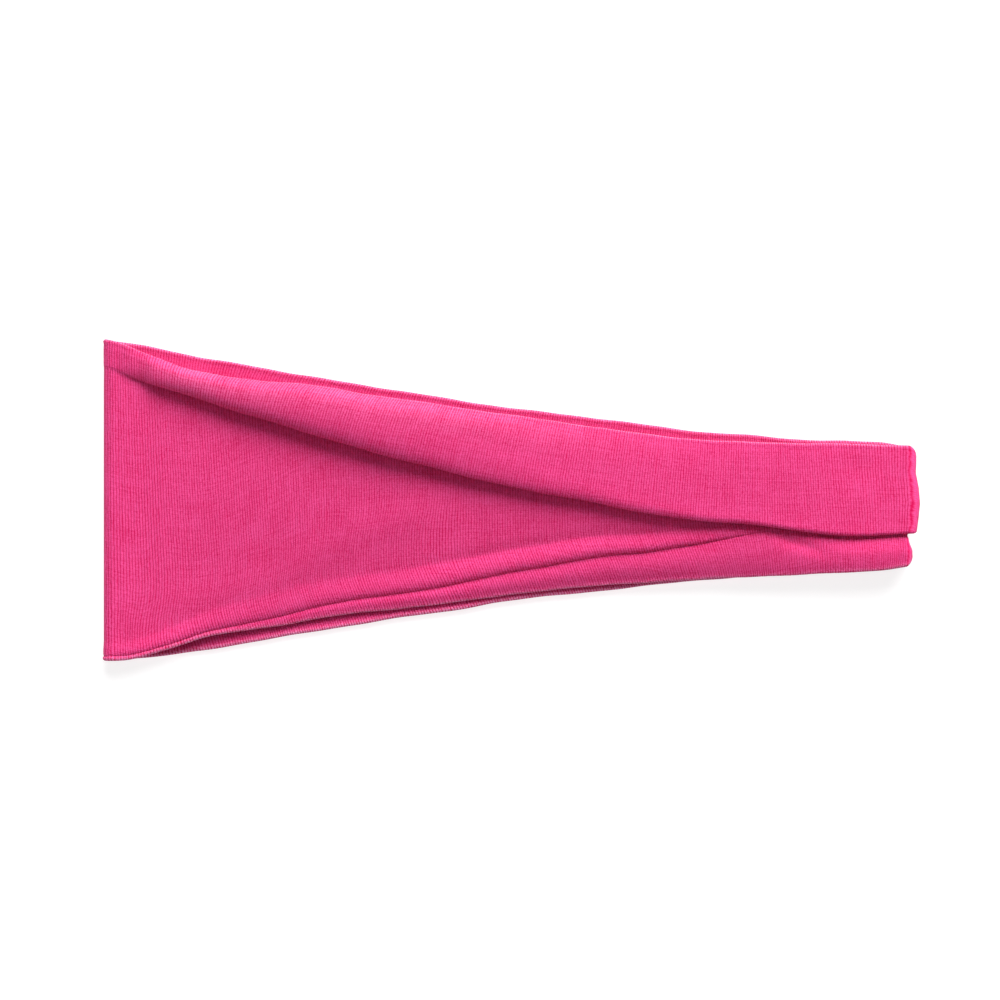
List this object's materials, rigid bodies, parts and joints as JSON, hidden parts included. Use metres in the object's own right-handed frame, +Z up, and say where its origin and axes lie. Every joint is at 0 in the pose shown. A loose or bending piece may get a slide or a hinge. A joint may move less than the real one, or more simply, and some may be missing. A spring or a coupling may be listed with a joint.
{
  "type": "sports headband",
  "caption": "Wide two-ply jersey sports headband lying flat, its width taken up by one long slanting pleat towards a narrow stitched back seam.",
  "frame": {"origin": "on the table, under the middle of the folded band", "axes": "+X from the front fold to the back seam, +Y to the upper edge, +Z up off the table"},
  "size_m": [0.2401, 0.0952, 0.0155],
  "materials": {
    "outer_jersey": "fine ribbed jersey knit, soft matt with a light sheen",
    "lining_jersey": "fine ribbed jersey knit, matt",
    "seam_thread": "textured polyester sewing thread"
  },
  "bodies": {
    "root": {"outer_panel": "outer_jersey", "lining_panel": "lining_jersey", "upper_edge_seam": "seam_thread", "lower_edge_seam": "seam_thread", "back_seam": "seam_thread", "back_overlock": "seam_thread"}
  },
  "joints": []
}
